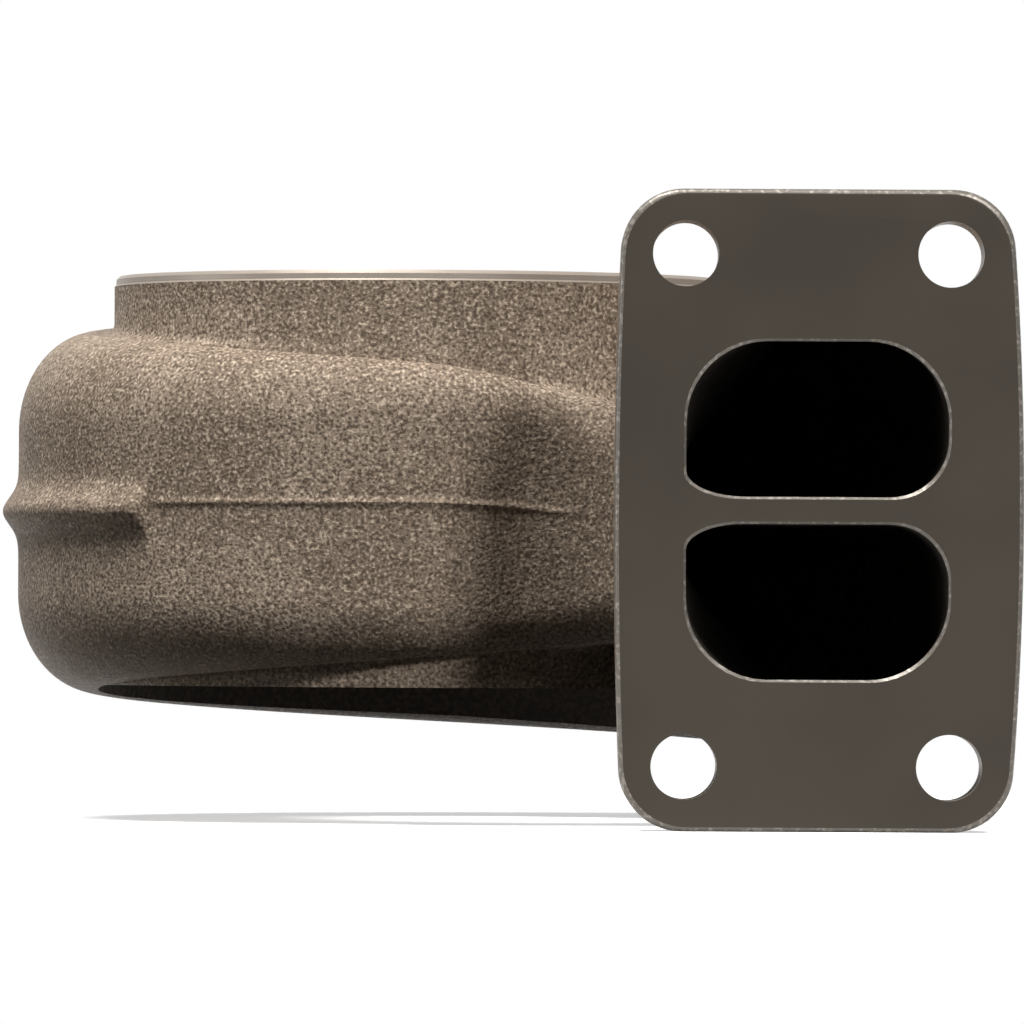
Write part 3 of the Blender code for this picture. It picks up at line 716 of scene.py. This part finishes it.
def pins(name, ends, diameter, sides, material):
    """Round pins, each between the middle points of its two ends, joined into one tool."""
    made = []
    for start, end in ends:
        axis = end - start
        bpy.ops.object.select_all(action="DESELECT")
        bpy.ops.mesh.primitive_cylinder_add(vertices=sides, radius=diameter / 2,
                                            depth=axis.length, location=(start + end) / 2,
                                            rotation=axis.to_track_quat("Z", "Y").to_euler())
        made.append(bpy.context.object)
    bpy.ops.object.select_all(action="DESELECT")
    for pin in made:
        pin.select_set(True)
    bpy.context.view_layer.objects.active = made[0]
    bpy.ops.object.join()
    bpy.ops.object.transform_apply(location=True, rotation=True, scale=True)
    made[0].name = name
    made[0].data.materials.append(material)
    return made[0]


def combine(body, operation, tool, self_crossing=False):
    """Add a form to the body or cut it away, and throw the tool away."""
    boolean = body.modifiers.new(tool.name, "BOOLEAN")
    boolean.operation = operation
    boolean.solver = "EXACT"
    boolean.use_self = self_crossing
    boolean.material_mode = "TRANSFER"
    boolean.object = tool
    only(body)
    bpy.ops.object.modifier_apply(modifier=boolean.name)
    bpy.data.objects.remove(tool)


skin = loft("turbine_housing_casting", skin_rings, CAST)
print("skin faces:", len(skin.data.polygons))

# %% [markdown]
# ## The rings and the flange
# Both rings are poured with the volute and turned afterwards. Only the rim and the faces are
# machined. The flange is a thick plate with bowed sides, its front edge broken by a small radius.

# %% Turned core
rim = OUTLET_RING_RADIUS - RING_BAND_DEPTH
band_end = OUTLET_FACE_Z - RING_BAND_HEIGHT
core = turned("core", [
    (0, OUTLET_FACE_Z),
    (rim - RING_EDGE_CHAMFER, OUTLET_FACE_Z),
    (rim, OUTLET_FACE_Z - RING_EDGE_CHAMFER),
    (rim, band_end),
    (OUTLET_RING_RADIUS, band_end - RING_BAND_DEPTH),
    (OUTLET_RING_RADIUS, 0),
    (BEARING_RING_RADIUS, -RING_BAND_HEIGHT),
    (BEARING_RING_RADIUS, BEARING_FACE_Z - OVERRUN / 2),
    (0, BEARING_FACE_Z - OVERRUN / 2)], CAST)
combine(skin, "UNION", core, self_crossing=True)
print("with the core:", len(skin.data.polygons))


# %% Flange
def flange_quarter(inset, bulge):
    half_height_here = STUD_SPACING_Z / 2 + FLANGE_EDGE - inset
    half_width = STUD_SPACING_X / 2 + FLANGE_EDGE + bulge - inset
    corner = FLANGE_CORNER_RADIUS
    bow_radius = (STUD_SPACING_Z / 2) ** 2 / (2 * bulge)
    lean = math.asin((half_height_here - corner) / bow_radius)
    side_end = half_height_here - corner * (1 - math.sin(lean))
    centre_x = half_width - side_end ** 2 / (2 * bow_radius) - corner * math.cos(lean)
    centre_z = half_height_here - corner
    points = [(half_width - (side_end * t) ** 2 / (2 * bow_radius), side_end * t)
              for t in np.linspace(0, 1, 13)[:-1]]
    for turn in np.linspace(lean, math.pi / 2, 15):
        points.append((centre_x + corner * math.cos(turn), centre_z + corner * math.sin(turn)))
    return points


def flange_outline(inset):
    away = flange_quarter(inset, FLANGE_BULGE)
    near = [(-x, z) for x, z in flange_quarter(inset, FLANGE_BULGE_NEAR_AXIS)]
    lower_near = [(x, -z) for x, z in near[1:]]
    lower_away = [(x, -z) for x, z in reversed(away[1:])]
    return away + near[::-1] + lower_near + lower_away


layers = []
for turn in np.linspace(0, math.pi / 2, 7):
    layers.append((FLANGE_FRONT_ROUNDING * (1 - math.cos(turn)),
                   FLANGE_FRONT_ROUNDING * (1 - math.sin(turn))))
for turn in np.linspace(0, math.pi / 2, 7):
    layers.append((FLANGE_THICKNESS - FLANGE_BACK_ROUNDING * (1 - math.sin(turn)),
                   FLANGE_BACK_ROUNDING * (1 - math.cos(turn))))
plate_rings = [np.array([(x, y, z) for x, z in flange_outline(inset)]) for y, inset in layers]
plate = loft("flange", plate_rings, CAST)
combine(skin, "UNION", plate)
print("with the flange:", len(skin.data.polygons))

# %% [markdown]
# ## Facing the bearing side
# The lower ring is faced flat on a lathe. Where the volute hangs lower than the ring, the tool
# leaves a round step in it.

# %% Facing cut
facing_radius = BEARING_RING_RADIUS + FACING_MARGIN
deepest = -VOLUTE_HALF_HEIGHT_START - OVERRUN
# The tool's near-black colour stays on the wall of the round step, as painted shade under the
# bearing ring.
facing = turned("facing", [(0, BEARING_FACE_Z), (facing_radius, BEARING_FACE_Z),
                           (facing_radius, deepest), (0, deepest)], NEAR_BLACK)
combine(skin, "DIFFERENCE", facing)
print("with the facing cut:", len(skin.data.polygons))

# %% [markdown]
# ## The gas passages
# Two sand cores make the passages. Each starts as a rounded rectangle in the flange and becomes a
# section that narrows towards the wheel, and the wall between the two is thin all the way.

# %% Passage sections
def round_corner(before, corner, after, cuts, samples):
    def towards(target, distance):
        dx, dz = target[0] - corner[0], target[1] - corner[1]
        length = math.hypot(dx, dz)
        return corner[0] + dx / length * distance, corner[1] + dz / length * distance

    handles = (towards(before, cuts[0]), towards(before, cuts[0] * 0.45),
               towards(after, cuts[1] * 0.45), towards(after, cuts[1]))
    points = []
    for t in np.linspace(0, 1, samples):
        weights = ((1 - t) ** 3, 3 * t * (1 - t) ** 2, 3 * t * t * (1 - t), t ** 3)
        points.append(tuple(sum(w * p[k] for w, p in zip(weights, handles)) for k in (0, 1)))
    return points


def round_polygon(corners, samples):
    count = len(corners)
    cuts = [[c[2], c[3]] for c in corners]
    for i in range(count):
        j = (i + 1) % count
        length = math.hypot(corners[j][0] - corners[i][0], corners[j][1] - corners[i][1])
        wanted = cuts[i][1] + cuts[j][0]
        if wanted > 0.96 * length:
            cuts[i][1] *= 0.96 * length / wanted
            cuts[j][0] *= 0.96 * length / wanted
    outline = []
    for i in range(count):
        outline += round_corner(corners[i - 1][:2], corners[i][:2], corners[(i + 1) % count][:2],
                                cuts[i], samples[i])
    return outline


def passage_section(width, top, share, corner, widen=0.0):
    low, high = DIVIDER / 2 - widen, top + widen
    outer, inner = -widen, width + widen
    knee = mix(inner, 0.5 * inner, share)
    lip = mix(low, high, 0.22)
    divider_corner = mix(PORT_DIVIDER_CORNER, 0.75 * PORT_DIVIDER_CORNER, share)
    inner_corner = mix(PORT_OUTER_CORNER, 0.65 * PORT_OUTER_CORNER, share)
    lip_corner = mix(PORT_DIVIDER_CORNER, 0.15 * PORT_DIVIDER_CORNER, share)
    corners = [
        (outer, low, divider_corner, divider_corner),
        (outer, high, corner[1], corner[0]),
        (knee, high, inner_corner, inner_corner),
        (inner, lip, WALL / 2, WALL / 2),
        (inner, low, lip_corner, lip_corner),
    ]
    return round_polygon(corners, (13, 15, 11, 5, 11))


def passage_corner(angle):
    across, down = shoulder(outer_radius(angle) - OUTLET_RING_RADIUS)
    return max(across - WALL, WALL / 2), max(down - WALL, WALL / 2)


def passage(side):
    """One gas passage from in front of the flange to the tongue: side is 1 above, -1 below."""
    start_corner = passage_corner(0)
    port_top = DIVIDER / 2 + PORT_HEIGHT
    start_top = half_height(0) - WALL
    places = [(-OVERRUN, PORT_EDGE_CHAMFER), (0.0, PORT_EDGE_CHAMFER), (PORT_EDGE_CHAMFER, 0.0)]
    places += [(AXIS_Y * step / PASSAGE_STRAIGHT, 0.0) for step in range(1, PASSAGE_STRAIGHT)]
    stations = []
    for y, widen in places:
        share = smooth_step(y / AXIS_Y)
        corner = [mix(PORT_OUTER_CORNER, s, share) for s in start_corner]
        width = mix(PORT_WIDTH, PASSAGE_START_RADIUS - PASSAGE_INNER_RADIUS, share)
        section = passage_section(width, mix(port_top, start_top, share), share, corner, widen)
        stations.append(((PORT_WIDTH / 2, y), (-1, 0), share * VOLUTE_RISE, section))
    count = round(TONGUE_ANGLE / PASSAGE_STEP)
    for step in range(count + 1):
        angle = TONGUE_ANGLE * step / count
        radius = passage_radius(angle)
        outward = (math.cos(angle), math.sin(angle))
        section = passage_section(radius - PASSAGE_INNER_RADIUS, half_height(angle) - WALL, 1.0,
                                  passage_corner(angle))
        stations.append(((AXIS_X + radius * outward[0], AXIS_Y + radius * outward[1]),
                         (-outward[0], -outward[1]), middle_height(angle), section))
    rings = [np.array([(wall[0] + d * inward[0], wall[1] + d * inward[1], rise + side * z)
                       for d, z in section]) for wall, inward, rise, section in stations]
    return loft("passage_above" if side > 0 else "passage_below", rings, NEAR_BLACK)


# %% Cut the passages
combine(skin, "DIFFERENCE", passage(1))
combine(skin, "DIFFERENCE", passage(-1))
print("with the passages:", len(skin.data.polygons))

# %% [markdown]
# ## The room for the wheel
# One turned shape cuts the outlet flare, the throat, the shroud round the wheel, the divided
# nozzle between the passages and the wheel, and the register for the bearing housing.

# %% Wheel room
nozzle_depth = PASSAGE_INNER_RADIUS + 0.6 * WALL
flare_start, flare_end = OUTLET_FACE_Z - BORE_LAND, OUTLET_FACE_Z - OUTLET_FLARE_DEPTH
nozzle_top, nozzle_bottom = VOLUTE_RISE + NOZZLE_HALF_GAP, VOLUTE_RISE - NOZZLE_HALF_GAP
divider_radius = WHEEL_RADIUS + WHEEL_CLEARANCE
wheel_room = [
    (0, OUTLET_FACE_Z + OVERRUN),
    (OUTLET_BORE_RADIUS + RING_EDGE_CHAMFER, OUTLET_FACE_Z + OVERRUN),
    (OUTLET_BORE_RADIUS + RING_EDGE_CHAMFER, OUTLET_FACE_Z),
    (OUTLET_BORE_RADIUS, OUTLET_FACE_Z - RING_EDGE_CHAMFER),
    (OUTLET_BORE_RADIUS, flare_start)]
wheel_room += [(mix(OUTLET_BORE_RADIUS, THROAT_RADIUS, smooth_step(t)),
                mix(flare_start, flare_end, t)) for t in np.linspace(0, 1, 9)[1:]]
wheel_room += [(mix(THROAT_RADIUS, WHEEL_RADIUS, 1 - math.cos(turn)),
                nozzle_top + SHROUD_RISE * (1 - math.sin(turn)))
               for turn in np.linspace(0, math.pi / 2, 10)]
wheel_room += [
    (nozzle_depth, nozzle_top),
    (nozzle_depth, VOLUTE_RISE + NOZZLE_DIVIDER / 2),
    (divider_radius, VOLUTE_RISE + NOZZLE_DIVIDER / 2),
    (divider_radius, VOLUTE_RISE - NOZZLE_DIVIDER / 2),
    (nozzle_depth, VOLUTE_RISE - NOZZLE_DIVIDER / 2),
    (nozzle_depth, nozzle_bottom),
    (HEAT_SHIELD_RADIUS, nozzle_bottom),
    (HEAT_SHIELD_RADIUS, BEARING_FACE_Z + REGISTER_DEPTH),
    (REGISTER_RADIUS, BEARING_FACE_Z + REGISTER_DEPTH),
    (REGISTER_RADIUS, BEARING_FACE_Z + RING_EDGE_CHAMFER),
    (REGISTER_RADIUS + RING_EDGE_CHAMFER, BEARING_FACE_Z),
    (REGISTER_RADIUS + RING_EDGE_CHAMFER, BEARING_FACE_Z - OVERRUN),
    (0, BEARING_FACE_Z - OVERRUN)]
combine(skin, "DIFFERENCE", turned("wheel_room", wheel_room, TURNED))
print("with the wheel room:", len(skin.data.polygons))


# %% Stud holes and tapped holes
def bolt_circle(count, first, radius, outside, bottom):
    ends = []
    for step in range(count):
        turn = first + math.tau * step / count
        x, y = AXIS_X + radius * math.cos(turn), AXIS_Y + radius * math.sin(turn)
        ends.append((Vector((x, y, outside)), Vector((x, y, bottom))))
    return ends


stud_ends = [(Vector((x, -OVERRUN, z)), Vector((x, FLANGE_THICKNESS + OVERRUN, z)))
             for x in (-STUD_SPACING_X / 2, STUD_SPACING_X / 2)
             for z in (-STUD_SPACING_Z / 2, STUD_SPACING_Z / 2)]
combine(skin, "DIFFERENCE", pins("stud_holes", stud_ends, STUD_HOLE_DIAMETER, HOLE_SIDES, TURNED))
combine(skin, "DIFFERENCE", pins("outlet_tapped", bolt_circle(
    4, math.radians(45), (OUTLET_BORE_RADIUS + OUTLET_RING_RADIUS) / 2, OUTLET_FACE_Z + OVERRUN,
    OUTLET_FACE_Z - OUTLET_TAPPED_DEPTH), TAPPED_DIAMETER, TAPPED_SIDES, TURNED))
combine(skin, "DIFFERENCE", pins("bearing_tapped", bolt_circle(
    6, math.radians(30), (REGISTER_RADIUS + BEARING_RING_RADIUS) / 2, BEARING_FACE_Z - OVERRUN,
    BEARING_FACE_Z + BEARING_TAPPED_DEPTH), TAPPED_DIAMETER, TAPPED_SIDES, TURNED))
print("finished casting:", len(skin.data.polygons), "faces")

# %% [markdown]
# ## Which faces are machined
# The cuts have brought their finish with them. The flange face, its rounded edge, the turned faces
# of the outlet ring and the faced step of the bearing side are found by their place and the way
# they look. A face looks square along an axis when that part of its normal is nearly 1.

# %% Give the machined faces their finish
SQUARE_ON = 0.97
NEAR = 0.0002


def finish_of(material):
    slots = skin.data.materials
    if material.name not in slots:
        slots.append(material)
    return slots.find(material.name)


def mark_machined():
    mesh = skin.data
    count = len(mesh.polygons)
    centres, normals = np.empty(3 * count), np.empty(3 * count)
    mesh.polygons.foreach_get("center", centres)
    mesh.polygons.foreach_get("normal", normals)
    centres, normals = centres.reshape(-1, 3), normals.reshape(-1, 3)
    index = np.empty(count, dtype=np.int32)
    mesh.polygons.foreach_get("material_index", index)
    cast = index == finish_of(CAST)
    radius = np.hypot(centres[:, 0] - AXIS_X, centres[:, 1] - AXIS_Y)
    flange_face = cast & (normals[:, 1] < -SQUARE_ON) & (centres[:, 1] < 2 * NEAR)
    ring_face = cast & (normals[:, 2] > 0.9) & (radius < OUTLET_RING_RADIUS)
    ring_face &= centres[:, 2] > OUTLET_FACE_Z - NEAR
    band = cast & (centres[:, 2] > band_end - 2 * NEAR) & (radius < OUTLET_RING_RADIUS + NEAR)
    band &= radius > rim - 2 * RING_EDGE_CHAMFER
    faced = (normals[:, 2] < -SQUARE_ON) & (np.abs(centres[:, 2] - BEARING_FACE_Z) < NEAR)
    faced &= radius < BEARING_RING_RADIUS + FACING_MARGIN
    edge = (centres[:, 1] < FLANGE_FRONT_ROUNDING) & (normals[:, 1] < -0.05) & ~flange_face
    index[edge] = finish_of(EDGE)
    index[flange_face] = finish_of(GROUND)
    index[ring_face | band | faced] = finish_of(TURNED)
    mesh.polygons.foreach_set("material_index", index)
    return int(flange_face.sum()), int((ring_face | band | faced).sum())


print("ground and turned faces:", mark_machined())

# %% Smooth the shading, and keep true edges
only(skin)
bpy.ops.object.shade_smooth_by_angle(angle=math.radians(32))
print("sharp edges kept:", sum(edge.use_edge_sharp for edge in skin.data.edges))

# %% Hand the casting over
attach(skin, "root")
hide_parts("turbine_housing")
